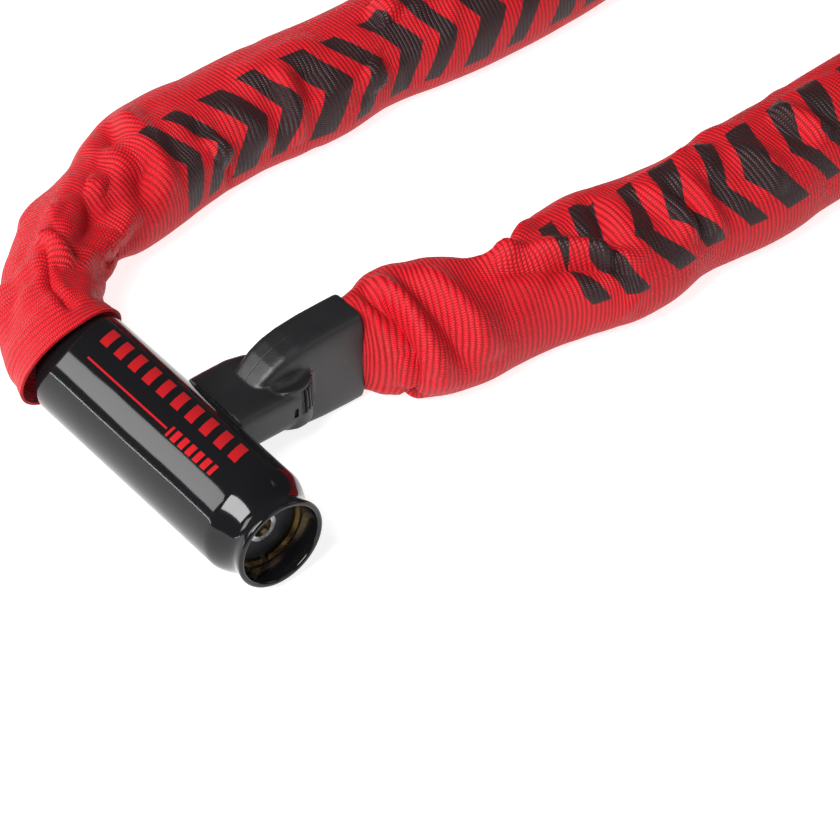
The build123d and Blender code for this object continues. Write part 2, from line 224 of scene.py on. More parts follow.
def mix_colour(tree, factor, first, second):
    """One colour laid over another."""
    node = tree.nodes.new("ShaderNodeMix")
    node.data_type = "RGBA"
    for socket, value in ((node.inputs[0], factor), (node.inputs[6], first), (node.inputs[7], second)):
        if isinstance(value, bpy.types.NodeSocket):
            tree.links.new(value, socket)
        else:
            socket.default_value = value
    return node.outputs[2]


def new_group(name, inputs, outputs):
    """An empty shader group with the given sockets."""
    group = bpy.data.node_groups.new(name, "ShaderNodeTree")
    for socket, kind, value in inputs:
        made = group.interface.new_socket(socket, in_out="INPUT", socket_type=kind)
        if value is not None:
            made.default_value = value
    for socket, kind in outputs:
        group.interface.new_socket(socket, in_out="OUTPUT", socket_type=kind)
    return group, group.nodes.new("NodeGroupInput"), group.nodes.new("NodeGroupOutput")


def new_material(name, **constants):
    """A material with its constants set on the shader's own sockets."""
    material = bpy.data.materials.new(name)
    material.use_nodes = True
    shader = material.node_tree.nodes["Principled BSDF"]
    for socket, value in constants.items():
        shader.inputs[socket.replace("_", " ")].default_value = value
    return material, material.node_tree, shader


# %% [markdown]
# ## The red webbing
# The sleeve is nylon tape woven as a tube. Thick cross threads make a rib every 1.3 mm, and fine threads run
# over them, so each rib looks like a row of beads, set half a bead on from the row before. The group works
# on a UV map laid out in millimetres, with U round the tube and V along it, so the ribs follow each fold.


# %% Webbing group
RIB, BEAD = 1.3, 0.62          # mm


def make_webbing_group():
    """Ribs and beads from a UV map in millimetres. Height feeds a bump. The second output is a painted highlight
    on the thread tops and painted shade between them.
    """
    group, given, result = new_group(
        "webbing",
        [
            ("UV", "NodeSocketVector", None),
            ("Rib", "NodeSocketFloat", RIB),
            ("Bead", "NodeSocketFloat", BEAD),
        ],
        [("Height", "NodeSocketFloat"), ("Painted Light", "NodeSocketFloat"), ("Patch", "NodeSocketFloat")],
    )
    split = add(group, "ShaderNodeSeparateXYZ", {0: given.outputs["UV"]})
    wander = add(group, "ShaderNodeTexNoise", {"Vector": given.outputs["UV"], "Scale": 0.09, "Detail": 2.0})
    along = sums(group, "ADD", split.outputs["Y"], sums(group, "MULTIPLY", wander.outputs["Fac"], 0.4))
    row = sums(group, "DIVIDE", along, given.outputs["Rib"])
    rib = sums(group, "ABSOLUTE", sums(group, "SINE", sums(group, "MULTIPLY", row, math.pi)))
    shifted = sums(group, "MULTIPLY", sums(group, "FLOOR", row), 0.5)
    across = sums(group, "ADD", sums(group, "DIVIDE", split.outputs["X"], given.outputs["Bead"]), shifted)
    bead = sums(group, "ABSOLUTE", sums(group, "SINE", sums(group, "MULTIPLY", across, math.pi)))
    beaded = sums(group, "MULTIPLY", rib, sums(group, "MULTIPLY_ADD", bead, 0.75, 0.25))
    patch = add(group, "ShaderNodeTexNoise", {"Vector": given.outputs["UV"], "Scale": 0.35, "Detail": 3.0})
    group.links.new(beaded, result.inputs["Height"])
    # The second output is painted light: bright on the thread tops as a painted highlight, dark in the grooves as
    # painted shade.
    group.links.new(sums(group, "POWER", beaded, 1.4), result.inputs["Painted Light"])
    group.links.new(patch.outputs["Fac"], result.inputs["Patch"])
    return group


webbing = make_webbing_group()


# %% [markdown]
# The black print is bold and simple: pairs of slanted chevrons, one broad and one narrow. Ink sits on the
# tops of the threads, so it shines a little more than the nylon and its edges are broken by the ribs. The
# bands of V that carry print are the two long arms. The bends are left plain.


# %% Sleeve material
CHEVRON_REPEAT, CHEVRON_SLANT, CHEVRON_HALF = 29.0, 0.55, 14.0
BROAD_BAND, NARROW_BAND = (3.0, 11.5), (17.5, 23.5)


def make_sleeve_material(print_spans):
    """Red nylon with black chevrons on the given spans of V, in millimetres."""
    material, tree, shader = new_material(
        "red webbing", Sheen_Weight=0.03, Sheen_Roughness=0.4, Specular_IOR_Level=0.28
    )
    shader.inputs["Sheen Tint"].default_value = (1.0, 0.45, 0.42, 1)
    uv = add(tree, "ShaderNodeUVMap", uv_map="cloth").outputs["UV"]
    weave = add(tree, "ShaderNodeGroup", node_tree=webbing)
    tree.links.new(uv, weave.inputs["UV"])
    weave.inputs["Rib"].default_value = RIB
    weave.inputs["Bead"].default_value = BEAD
    split = add(tree, "ShaderNodeSeparateXYZ", {0: uv})
    around, along = split.outputs["X"], split.outputs["Y"]
    slant = sums(tree, "MULTIPLY", sums(tree, "ABSOLUTE", around), CHEVRON_SLANT)
    repeat = sums(tree, "MODULO", sums(tree, "ADD", along, slant), CHEVRON_REPEAT)
    broad = band(tree, repeat, *BROAD_BAND, 0.12)
    narrow = band(tree, repeat, *NARROW_BAND, 0.12)
    height = band(tree, around, -CHEVRON_HALF, CHEVRON_HALF, 0.15)
    shape = sums(tree, "MULTIPLY", sums(tree, "MAXIMUM", broad, narrow), height)
    place = None
    for low, high in print_spans:
        span = band(tree, along, low, high, 0.2)
        place = span if place is None else sums(tree, "MAXIMUM", place, span)
    ink = sums(tree, "MULTIPLY", shape, place)
    wear = sums(tree, "MULTIPLY_ADD", weave.outputs["Height"], 0.25, 0.86)
    ink = sums(tree, "MINIMUM", sums(tree, "MULTIPLY", ink, wear), 1.0)
    # The nylon's colour is painted shade in the grooves between threads and a painted highlight on the thread
    # tops.
    nylon = mix_colour(tree, weave.outputs["Painted Light"], (0.22, 0.0, 0.003, 1), (0.95, 0.008, 0.022, 1))
    faded = mix_colour(
        tree, sums(tree, "MULTIPLY", weave.outputs["Patch"], 0.25), nylon, (0.62, 0.008, 0.014, 1)
    )
    # The ink also gets a painted highlight on the thread tops.
    black = mix_colour(tree, weave.outputs["Painted Light"], (0.003, 0.003, 0.004, 1), (0.022, 0.020, 0.022, 1))
    tree.links.new(mix_colour(tree, ink, faded, black), shader.inputs["Base Color"])
    rough = sums(tree, "MULTIPLY_ADD", ink, -0.16, 0.55)
    tree.links.new(rough, shader.inputs["Roughness"])
    bump = add(
        tree, "ShaderNodeBump", {"Height": weave.outputs["Height"], "Strength": 0.75, "Distance": 0.0004}
    )
    tree.links.new(bump.outputs["Normal"], shader.inputs["Normal"])
    return material


# %% [markdown]
# ## The sleeve
# The sleeve is one tube of cloth, 104 mm round, pushed along a stiff chain. It starts as a loft through listed
# stations: where the tube's middle runs, and how wide and how high it stands there.
# The tube is narrow where it is pinched inside the first bend and where it is creased behind the boot. Its
# last stations close down to the boot's tall, narrow mouth.

# %% Stations along the sleeve
# Each station is (x, y, half width, half height, height of the middle) in millimetres, then how the section
# is shaped: 1 is an ellipse, less is fuller and more is nearer to a diamond.
STATIONS = [
    (-1.2, 93.0, 17.0, 17.0, 0.7, 1.0),
    (-0.2, 97.5, 16.2, 16.6, 0.3, 1.05),
    (1.6, 103.5, 14.8, 15.6, -0.3, 1.15),
    (5.8, 112.6, 13.2, 15.0, -0.8, 1.25),
    (11.4, 120.8, 12.6, 14.8, -1.0, 1.25),
    (18.6, 128.6, 12.6, 14.8, -1.2, 1.2),
    (26.6, 134.6, 13.0, 14.6, -1.3, 1.1),
    (36, 139, 13.0, 14.4, -1.4, 1.0),
    (47, 142, 14.8, 14.2, -1.5, 0.9),
    (60, 147, 17.8, 14.8, -1.0, 0.9),
    (75, 151, 18.4, 14.8, -1.0, 0.9),
    (90, 152, 17.6, 14.4, -1.4, 0.9),
    (105, 152, 17.6, 14.6, -1.2, 0.9),
    (125, 151, 18.2, 14.4, -1.4, 0.9),
    (145, 152, 16.4, 14.2, -1.6, 0.9),
    (166, 151, 18.0, 14.6, -1.2, 0.9),
    (190, 149, 17.0, 14.6, -1.2, 0.9),
    (215, 151, 18.2, 14.4, -1.4, 0.9),
    (240, 151, 16.8, 14.8, -1.0, 0.9),
    (265, 148.5, 17.8, 14.6, -1.2, 0.9),
    (290, 147, 17.2, 14.4, -1.4, 0.9),
    (315, 147.5, 17.6, 14.6, -1.2, 0.9),
    (338, 143, 17.2, 14.4, -1.4, 0.9),
    (358, 130, 17.0, 14.6, -1.2, 0.9),
    (372, 110, 17.4, 14.6, -1.2, 0.9),
    (374, 87, 17.0, 14.4, -1.4, 0.9),
    (365, 65, 17.4, 14.6, -1.2, 0.9),
    (348, 49, 17.0, 14.4, -1.4, 0.9),
    (325, 42, 17.6, 14.6, -1.2, 0.9),
    (300, 41, 17.0, 14.4, -1.4, 0.9),
    (275, 41.5, 17.8, 14.6, -1.2, 0.9),
    (250, 41, 17.4, 14.4, -1.4, 0.9),
    (228, 39, 18.0, 14.6, -1.2, 0.9),
    (210, 38, 18.0, 14.6, -1.2, 0.9),
    (194, 37, 19.0, 14.6, -1.2, 0.9),
    (179, 37, 17.6, 14.4, -1.4, 0.9),
    (165, 37.5, 17.5, 14.4, -1.4, 0.9),
    (149, 37, 20.4, 14.8, -1.0, 0.9),
    (134, 38.5, 20.0, 14.8, -1.0, 0.9),
    (121, 38, 15.8, 14.6, -1.2, 0.9),
    (111, 37.5, 12.4, 13.8, -2.0, 0.9),
    (101, 39, 14.4, 14.2, -1.6, 0.9),
    (91, 42, 18.0, 14.8, -1.0, 0.9),
    (82, 45.5, 18.6, 15.0, -0.8, 0.9),
    (74, 48.5, 16.8, 15.2, -0.6, 0.9),
    (68, 50, 12.0, 15.2, -0.4, 0.9),
    (63.5, 51, 7.6, 15.0, 0.0, 0.9),
    (59.5, 51, 6.3, 14.4, 0.0, 0.9),
]
COARSE_ROW = 2.2   # mm between rows, before the grid is refined


def smooth_table(table, step):
    """Rows at even steps along a smooth curve through the table's rows, and the distance to each."""
    rows = np.array(table, float)
    spans = np.linalg.norm(np.diff(rows[:, :2], axis=0), axis=1)
    at = np.concatenate([[0], np.cumsum(spans)])
    slopes = np.gradient(rows, at, axis=0)
    count = int(at[-1] / step) + 1
    wanted = np.linspace(0, at[-1], count)
    index = np.clip(np.searchsorted(at, wanted, side="right") - 1, 0, len(at) - 2)
    width = (at[index + 1] - at[index])[:, None]
    t = ((wanted - at[index])[:, None]) / width
    first = rows[index] + slopes[index] * t * width
    second = rows[index + 1] - slopes[index + 1] * (1 - t) * width
    return first * (1 - ease(t)) + second * ease(t), wanted


rows, row_at = smooth_table(STATIONS, COARSE_ROW)
LENGTH = row_at[-1]
print("sleeve follows", round(LENGTH), "mm in", len(rows), "rows")


# %% [markdown]
# Folds come next. Each is a line drawn on the cloth through a few points, given as a distance along the tube and
# an angle round it. The cloth is pushed in along the line, with a softer swell on each side, or pulled out where
# the depth is negative, and each fold dies out towards its ends. The main ones are listed one by one.
# Small ones are scattered with a fixed seed.

# %% Folds
# 0 degrees is the inner side of the loop and 90 degrees is the top. A negative distance counts from the boot.
FOLDS = [
    # line, depth, width
    ([(2, 84), (11, 86), (18, 93), (29, 95), (36, 102)], -2.0, 1.9),
    ([(12, 122), (22, 128), (30, 132)], 1.4, 4.5),
    ([(38, 108), (32, 84), (26, 60)], 4.1, 2.6),
    ([(26, 58), (40, 34), (57, 22), (72, 32)], 4.0, 3.2),
    ([(46, 96), (52, 62), (60, 48)], -2.7, 7.0),
    ([(90, 130), (81, 93), (74, 42), (72, 8)], -2.3, 3.2),
    ([(97, 128), (90, 92), (83, 52), (80, 20)], 2.6, 3.4),
    ([(63, 88), (66, 70)], 2.2, 5.0),
    ([(103, 24), (109, 30)], 3.8, 4.5),
    ([(116, 70), (122, 30), (123, 0)], 1.8, 4.0),
    ([(139, 84), (137, 30), (136, -12)], 2.7, 3.2),
    ([(146, 70), (144, 30)], -1.4, 4.0),
    ([(163, 40), (166, 10)], 3.0, 4.0),
    ([(180, 96), (181, 70)], 4.3, 3.4),
    ([(-7, 64), (-9, 96), (-12, 123), (-15, 156), (-20, 205)], -2.3, 2.4),
    ([(-13, 66), (-15, 96), (-19, 123), (-23, 156), (-27, 205)], 3.0, 2.8),
    ([(-20, 70), (-23, 105), (-27, 138), (-31, 185)], -1.6, 3.0),
    ([(-27, 72), (-30, 100), (-35, 136), (-38, 180)], 2.4, 3.2),
    ([(-40, 60), (-44, 110), (-46, 150)], -1.4, 4.0),
    ([(-44, 66), (-54, 84), (-66, 104), (-76, 124), (-86, 140)], 4.2, 2.6),
    ([(-46, 84), (-58, 62), (-70, 44)], 3.2, 3.0),
    ([(-56, 116), (-66, 128), (-74, 142)], -2.2, 4.0),
    ([(-85, 60), (-79, 108), (-77, 128), (-75, 152)], -2.4, 2.2),
    ([(-91, 72), (-87, 110), (-85, 146)], 1.6, 3.0),
    ([(-102, 76), (-102, 112), (-102, 150)], 2.7, 3.0),
    ([(-113, 84), (-112, 130), (-113, 168)], 2.2, 3.0),
    ([(-119, 68), (-122, 90)], -1.6, 3.4),
    ([(-134, 80), (-136, 120), (-134, 150)], 1.9, 4.0),
    ([(-152, 72), (-156, 100), (-158, 128)], 3.5, 3.2),
    ([(-14, 198), (-18, 222)], -3.0, 4.0),
]
TUBE_R = 16.5      # mm, for turning angles round the tube into lengths
FADE = 0.3         # share of a fold over which it dies out, at each end
SWELL, SWELL_AT = 0.3, 1.9     # of the fold's depth, and widths from its line
SMALL_FOLDS, SEED = 70, 5


def scattered_folds(count, seed):
    """Small slanting creases all along the tube."""
    chance = np.random.default_rng(seed)
    folds = []
    for _ in range(count):
        place, angle = chance.uniform(0, LENGTH), chance.uniform(0, 360)
        reach, slant = chance.uniform(18, 50), chance.uniform(-7, 7)
        line = [(place - slant, angle - reach), (place, angle), (place + slant, angle + reach)]
        folds.append((line, chance.uniform(-0.5, 0.9), chance.uniform(2.4, 4.5)))
    return folds


def nearest_on_line(along, angle, line):
    """Each point's distance from a line drawn on the cloth, in mm, and its share of the way down the line."""
    nearest, share_down = np.full(along.shape, 1e6), np.zeros(along.shape)
    runs = [
        np.array([last[0] - first[0], math.radians(last[1] - first[1]) * TUBE_R])
        for first, last in zip(line, line[1:])
    ]
    lengths = [np.linalg.norm(run) for run in runs]
    for i, ((start_along, start_turn), run) in enumerate(zip(line, runs)):
        turned = (angle - math.radians(start_turn) + math.pi) % (2 * math.pi) - math.pi
        here = np.stack([along - start_along, turned * TUBE_R], axis=-1)
        share = np.clip((here @ run) / (run @ run), 0, 1)
        off = np.linalg.norm(here - share[..., None] * run, axis=-1)
        down = (sum(lengths[:i]) + share * lengths[i]) / sum(lengths)
        share_down = np.where(off < nearest, down, share_down)
        nearest = np.minimum(nearest, off)
    return nearest, share_down


def fold_depth(along, angle, folds):
    """How far in each point is pushed, for arrays of distance along and angle round."""
    depth = np.zeros(along.shape)
    for line, size, width in folds:
        line = [(place + (LENGTH if place < 0 else 0), turn) for place, turn in line]
        off, down = nearest_on_line(along, angle, line)
        off /= width
        taper = np.sin(np.clip(np.minimum(down, 1 - down) / FADE, 0, 1) * math.pi / 2)
        depth += size * taper * (np.exp(-(off**2)) - SWELL * np.exp(-((off - SWELL_AT) ** 2)))
    return depth


all_folds = FOLDS + scattered_folds(SMALL_FOLDS, SEED)
print(len(all_folds), "folds")


# %% [markdown]
# The cloth is worked out as a grid of points: rows along the route and columns round the tube. The columns
# turn slowly along the sleeve, because the tube has twisted a little, and that also keeps the printed side
# in view on both arms. Where the chain is pulled tight the section is nearer to a diamond, since the cloth
# only touches the edges of crossing links. The mouth sits unevenly on the barrel, so its rim leans.

# %% Grid of the cloth
COARSE_RING = 48   # columns
LIFT = 0.3         # mm that the cloth stays above the floor
PRINT_FIRST, PRINT_SECOND = 36, 118        # degrees, where the middle of the print faces on each arm
TWIST_FROM, TWIST_OVER = 0.36, 0.3         # shares of the route
MOUTH_REACH = 26   # mm of sleeve that leans with the mouth
LEAN_INNER, LEAN_OUTER, LEAN_TOP = 0.42, 0.30, 0.36


def directions_along(path):
    """Unit vectors along and to the left of each point of a flat path."""
    ahead = np.gradient(path[:, :2], axis=0)
    ahead /= np.linalg.norm(ahead, axis=1)[:, None]
    left = np.stack([-ahead[:, 1], ahead[:, 0]], axis=1)
    return ahead, left


def signed_power(values, power):
    return np.sign(values) * np.abs(values) ** power


def cloth_grid(columns):
    """The cloth's points before it settles, as rows by columns by xyz, with the angle of each point."""
    ahead, left = directions_along(rows)
    share = row_at / LENGTH
    twist = np.clip((share - TWIST_FROM) / TWIST_OVER, 0, 1)
    printed = np.radians(PRINT_FIRST + (PRINT_SECOND - PRINT_FIRST) * twist)
    angle = printed[:, None] + (np.arange(columns) / columns - 0.5)[None, :] * 2 * math.pi
    side = signed_power(np.cos(angle), rows[:, 5:6]) * rows[:, 2:3]
    lift = signed_power(np.sin(angle), rows[:, 5:6]) * rows[:, 3:4]
    mouth = np.clip(1 - row_at[:, None] / MOUTH_REACH, 0, 1) ** 1.5
    lean = mouth * (LEAN_INNER * np.maximum(side, 0) + LEAN_OUTER * np.minimum(side, 0) - LEAN_TOP * lift)
    grid = np.empty(angle.shape + (3,))
    grid[..., 0] = rows[:, None, 0] - side * left[:, None, 0] + lean * ahead[:, None, 0]
    grid[..., 1] = rows[:, None, 1] - side * left[:, None, 1] + lean * ahead[:, None, 1]
    grid[..., 2] = rows[:, None, 4] + lift
    grid[..., 2] = np.maximum(grid[..., 2], FLOOR + LIFT)
    return grid, angle


coarse, coarse_angle = cloth_grid(COARSE_RING)
print("cloth grid", coarse.shape[:2])


# %% [markdown]
# Real webbing has a little more length than it needs, so it buckles. A short cloth simulation grows the
# cloth by a few percent while soft springs hold it near its place and both ends are pinned. It runs on the
# coarse grid, ten times as large, and no point may move by more than 1.8 mm.


# %% Let the cloth buckle
ENLARGED = 10      # the solver is steadier on a bigger cloth
SOFTLY_HELD, PINNED = 0.04, 1.0
PINNED_ROWS = (3, 6)           # at the barrel and at the boot


def tube_faces(row_count, columns):
    """Quads of an open tube, pointing outwards for rows that travel away."""
    first = np.arange(row_count - 1)[:, None] * columns
    here = np.arange(columns)[None, :]
    beside = (here + 1) % columns
    after = first + columns
    quads = np.stack([first + here, first + beside, after + beside, after + here], axis=-1)
    return quads.reshape(-1, 4)


def buckle(grid, growth, frames, most):
    """The grid after the cloth has grown and settled."""
    columns = grid.shape[1]
    mesh = bpy.data.meshes.new("buckling")
    points = grid.reshape(-1, 3) * MM * ENLARGED
    mesh.from_pydata(points.tolist(), [], tube_faces(len(grid), columns).tolist())
    cloth = bpy.data.objects.new("buckling", mesh)
    bpy.context.scene.collection.objects.link(cloth)
    held = cloth.vertex_groups.new(name="held")
    count = len(mesh.vertices)
    held.add(range(count), SOFTLY_HELD, "REPLACE")
    held.add(range(PINNED_ROWS[0] * columns), PINNED, "REPLACE")
    held.add(range(count - PINNED_ROWS[1] * columns, count), PINNED, "REPLACE")
    modifier = cloth.modifiers.new("cloth", "CLOTH")
    settings = modifier.settings
    settings.vertex_group_mass = "held"
    settings.mass = 0.1
    settings.tension_stiffness = settings.compression_stiffness = 40
    settings.shear_stiffness = 12
    settings.bending_stiffness = 6
    settings.shrink_min = -growth
    settings.effector_weights.gravity = 0.1
    modifier.collision_settings.use_collision = False
    modifier.point_cache.frame_end = frames
    scene = bpy.context.scene
    for frame_number in range(1, frames + 1):
        scene.frame_set(frame_number)
    settled = apply_modifiers(cloth)
    points = np.array([v.co for v in settled.data.vertices]).reshape(grid.shape) / (MM * ENLARGED)
    bpy.data.objects.remove(settled)
    scene.frame_set(1)
    move = points - grid
    length = np.linalg.norm(move, axis=-1, keepdims=True)
    print("cloth moved by up to", round(float(length.max()), 2), "mm")
    return grid + move * np.minimum(1, most / np.maximum(length, 1e-6))


coarse = buckle(coarse, growth=0.035, frames=20, most=1.8)


# %% [markdown]
# The settled grid is refined to twice as many rows and columns with a four-point curve, and the folds are
# pressed into it. Then it is pushed clear of the chain, so that no link shows through, and of the floor.


# %% Refine, fold, and clear the chain
CLEAR = 1.05       # mm from the links to the face of the cloth
FAR_OUT = 30       # mm beyond the cloth, where the search for a link starts


def refine(grid):
    """Twice as many rows and columns on a smooth curve through the same points."""
    ringed = np.concatenate([grid[:, -1:], grid, grid[:, :2]], axis=1)
    between = (9 * (ringed[:, 1:-2] + ringed[:, 2:-1]) - ringed[:, :-3] - ringed[:, 3:]) / 16
    wide = np.empty((grid.shape[0], grid.shape[1] * 2, 3))
    wide[:, 0::2], wide[:, 1::2] = grid, between
    ended = np.concatenate([2 * wide[:1] - wide[1:2], wide, 2 * wide[-1:] - wide[-2:-1]])
    between = (9 * (ended[1:-2] + ended[2:-1]) - ended[:-3] - ended[3:]) / 16
    tall = np.empty((grid.shape[0] * 2 - 1, wide.shape[1], 3))
    tall[0::2], tall[1::2] = wide, between
    return tall


def grid_normals(grid):
    """Outward unit normals of a tube's grid."""
    round_way = np.roll(grid, -1, axis=1) - np.roll(grid, 1, axis=1)
    along_way = np.gradient(grid, axis=0)
    normal = np.cross(round_way, along_way)
    return normal / np.linalg.norm(normal, axis=-1, keepdims=True)


def solid_tree(names):
    """A search tree over several CAD nodes, in millimetres."""
    points, faces = [], []
    for name in names:
        node = bpy.data.objects[name]
        start = len(points)
        points += [tuple(node.matrix_world @ v.co / MM) for v in node.data.vertices]
        faces += [[start + i for i in f.vertices] for f in node.data.polygons]
    return BVHTree.FromPolygons(points, faces)


def spread(push):
    """Soften a map of pushes, without making any push smaller, so the cloth bridges over what lifts it."""
    wide = push.copy()
    for step in (-2, -1, 1, 2):
        wide = np.maximum(wide, np.roll(push, step, axis=1))
        wide = np.maximum(wide, np.roll(push, step, axis=0))
    for _ in range(3):
        for axis in (0, 1):
            wide = (np.roll(wide, 1, axis=axis) + wide + np.roll(wide, -1, axis=axis)) / 3
    return np.maximum(wide, push)


def clear_of(grid, centres, tree, gap):
    """Move points away from their row's centre until they are outside the solids by a gap."""
    push, outwards = np.zeros(grid.shape[:2]), np.zeros(grid.shape)
    for row, centre in enumerate(centres):
        for column in range(grid.shape[1]):
            direction = Vector(grid[row, column]) - centre
            reach = direction.length
            direction.normalize()
            outwards[row, column] = direction
            start = centre + direction * (reach + FAR_OUT)
            hit, _, _, distance = tree.ray_cast(start, -direction, reach + FAR_OUT)
            if hit is not None:
                push[row, column] = max(0, FAR_OUT - distance + gap)
    return grid + spread(push)[..., None] * outwards


def row_near(x, y, low=0.0, high=1.0):
    """The fine row whose centre is nearest to a point, within a share of the route."""
    first, last = int(low * len(fine_centres)), int(high * len(fine_centres))
    gaps = [(fine_centres[i].xy - Vector((x, y))).length for i in range(first, last)]
    return first + int(np.argmin(gaps))


def press_folds(grid, coarse_angle):
    """Push the folds into the refined cloth along its own normals, with both ends left smooth."""
    along = np.linspace(0, LENGTH, len(grid))[:, None] * np.ones(grid.shape[1])
    first = np.interp(along[:, 0], row_at, coarse_angle[:, 0])
    angle = first[:, None] + np.arange(grid.shape[1])[None, :] / grid.shape[1] * 2 * math.pi
    depth = fold_depth(along, angle, all_folds)
    depth *= np.clip((along - 2) / 6, 0, 1)
    depth *= np.clip((LENGTH - 4 - along) / 4, 0, 1)
    return grid - grid_normals(grid) * depth[..., None]


cloth = press_folds(refine(coarse), coarse_angle)
fine_at = np.linspace(0, LENGTH, len(cloth))
fine_centres = [
    Vector((np.interp(at, row_at, rows[:, 0]), np.interp(at, row_at, rows[:, 1]), 0)) for at in fine_at
]
links = sorted(name for name in frame["nodes"] if name.startswith("chain_link"))
cloth = clear_of(cloth, fine_centres, solid_tree(links + ["rear_plug", "anchor_pin"]), CLEAR)
at_barrel = row_near(10, 116, 0, 0.2)
cloth[:at_barrel] = clear_of(cloth[:at_barrel], fine_centres[:at_barrel], solid_tree(["barrel_cover"]), CLEAR)
cloth[..., 2] = np.maximum(cloth[..., 2], FLOOR + LIFT)
print("fine grid", cloth.shape[:2])


# %% [markdown]
# The tube is cut into four lengths, one for each stretch of chain that moves, because a piece can bend across
# only one joint. Each length gets an inner wall, so it is cloth with a thickness and open ends. The normals
# come from the whole tube, so the cuts can't be seen.

# %% Four lengths of sleeve
WALL = 0.8         # mm
CIRCUMFERENCE = 104.0          # mm, flat width 52


def wall_mesh(name, outer, normals, first_row, v_step):
    """A closed shell from a stretch of the tube's grid, with the cloth's UV map in millimetres."""
    row_count, columns = outer.shape[:2]
    inner = outer - normals * WALL
    outer_faces = tube_faces(row_count, columns)
    count = row_count * columns
    inner_faces = outer_faces[:, ::-1] + count
    here = np.arange(columns)
    beside = (here + 1) % columns
    last = (row_count - 1) * columns
    front = np.stack([here, here + count, beside + count, beside], axis=-1)
    rear = np.stack([last + here, last + beside, last + beside + count, last + here + count], axis=-1)
    faces = np.concatenate([outer_faces, inner_faces, front, rear])
    mesh = bpy.data.meshes.new(name)
    points = np.concatenate([outer.reshape(-1, 3), inner.reshape(-1, 3)]) * MM
    mesh.from_pydata(points.tolist(), [], faces.tolist())
    column_of = (faces % count) % columns
    row_of = (faces % count) // columns
    wrapped = (column_of == 0) & ((column_of == columns - 1).any(axis=1)[:, None])
    around = (np.where(wrapped, columns, column_of) / columns - 0.5) * CIRCUMFERENCE
    along = (row_of + first_row) * v_step
    layer = mesh.uv_layers.new(name="cloth")
    layer.data.foreach_set("uv", np.stack([around, along], axis=-1).reshape(-1).astype(np.float32))
    loop_normals = np.concatenate([normals.reshape(-1, 3), -normals.reshape(-1, 3)])[faces]
    rims = len(outer_faces) + len(inner_faces)
    for start, row, sign in ((rims, 0, -1), (rims + columns, -1, 1)):
        step_along = (outer[1] - outer[0]) if row == 0 else (outer[-1] - outer[-2])
        mean = step_along.mean(axis=0)
        loop_normals[start : start + columns] = sign * mean / np.linalg.norm(mean)
    mesh.polygons.foreach_set("use_smooth", [True] * len(faces))
    mesh.normals_split_custom_set(loop_normals.reshape(-1, 3).tolist())
    piece = bpy.data.objects.new(name, mesh)
    bpy.context.scene.collection.objects.link(piece)
    return piece


normals = grid_normals(cloth)
cuts = [
    0,
    row_near((ANCHOR.x + NEAR_PIVOT.x) / 2 - 2, (ANCHOR.y + NEAR_PIVOT.y) / 2 + 4, 0, 0.2),
    row_near(190, 149, 0, 0.5),
    row_near(368, 120, 0.3, 0.7),
    len(cloth) - 1,
]
LENGTHS = [
    # name, first body, second body, where the bend starts and ends, the solids that it replaces
    ("sleeve_at_barrel", "lock_body", "chain_near", (0, 94), (4, 112), ["sleeve_near"]),
    (
        "sleeve_first_arm",
        "chain_near",
        "chain_arm_a",
        (22, 133),
        (50, 143),
        ["sleeve_arm_a_near", "sleeve_arm_a_far"],
    ),
    ("sleeve_bend", "chain_arm_a", "chain_far", (335, 147), (356, 131), ["sleeve_far_bend"]),
    (
        "sleeve_second_arm",
        "chain_far",
        "chain_end",
        (373.5, 108),
        (374, 86),
        ["sleeve_end_bend", "sleeve_arm_b"],
    ),
]
red_webbing = make_sleeve_material([(86, 330), (LENGTH - 330, LENGTH - 63)])
v_step = LENGTH / (len(cloth) - 1)


for (name, first_body, second_body, start, end, nodes), low, high in zip(LENGTHS, cuts, cuts[1:]):
    part = slice(low, high + 1)
    piece = wall_mesh(name, cloth[part], normals[part], low, v_step)
    paint(piece, red_webbing)
    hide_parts(*nodes)
    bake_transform(piece)
    print(name, "rows", low, "to", high)


# %% [markdown]
# ## The barrel's skin
# A dipped skin has no sharp edge: the lip at the mouth is rolled over and thin, and the rear end is rounded.
# It is an outline turned round the barrel's axis. The window for the tongue and the slot for the first link
# are cut through it.


# %% Barrel skin
def cut(piece, cutter, name):
    """Take one closed shape out of another, for good."""
    modifier = piece.modifiers.new(name, "BOOLEAN")
    modifier.operation = "DIFFERENCE"
    modifier.solver = "EXACT"
    modifier.object = cutter
    apply_modifiers(piece)
    bpy.data.objects.remove(cutter)


def block(name, low, high):
    """A box from corner to corner, in millimetres."""
    bm = bmesh.new()
    bmesh.ops.create_cube(bm, size=1)
    size = Vector(high) - Vector(low)
    bmesh.ops.scale(bm, vec=size, verts=bm.verts)
    bmesh.ops.translate(bm, vec=(Vector(high) + Vector(low)) / 2, verts=bm.verts)
    return finish_mesh(name, bm, smooth=False)


def arc(centre, radius, start, end, count):
    """Points (radius from the axis, y) on an arc, with angles in degrees."""
    angles = np.radians(np.linspace(start, end, count))
    return [(centre[0] + radius * math.cos(a), centre[1] + radius * math.sin(a)) for a in angles]


def spun(name, outline, segments):
    """A closed outline of (radius, y) points turned round the barrel's axis."""
    bm = bmesh.new()
    points = [bm.verts.new((r, y, 0)) for r, y in outline]
    edges = [bm.edges.new((a, b)) for a, b in zip(points, points[1:] + points[:1])]
    bmesh.ops.spin(
        bm,
        geom=points + edges,
        cent=(0, 0, 0),
        axis=(0, 1, 0),
        angle=2 * math.pi,
        steps=segments,
        use_merge=True,
    )
    bmesh.ops.recalc_face_normals(bm, faces=bm.faces)
    return finish_mesh(name, bm)


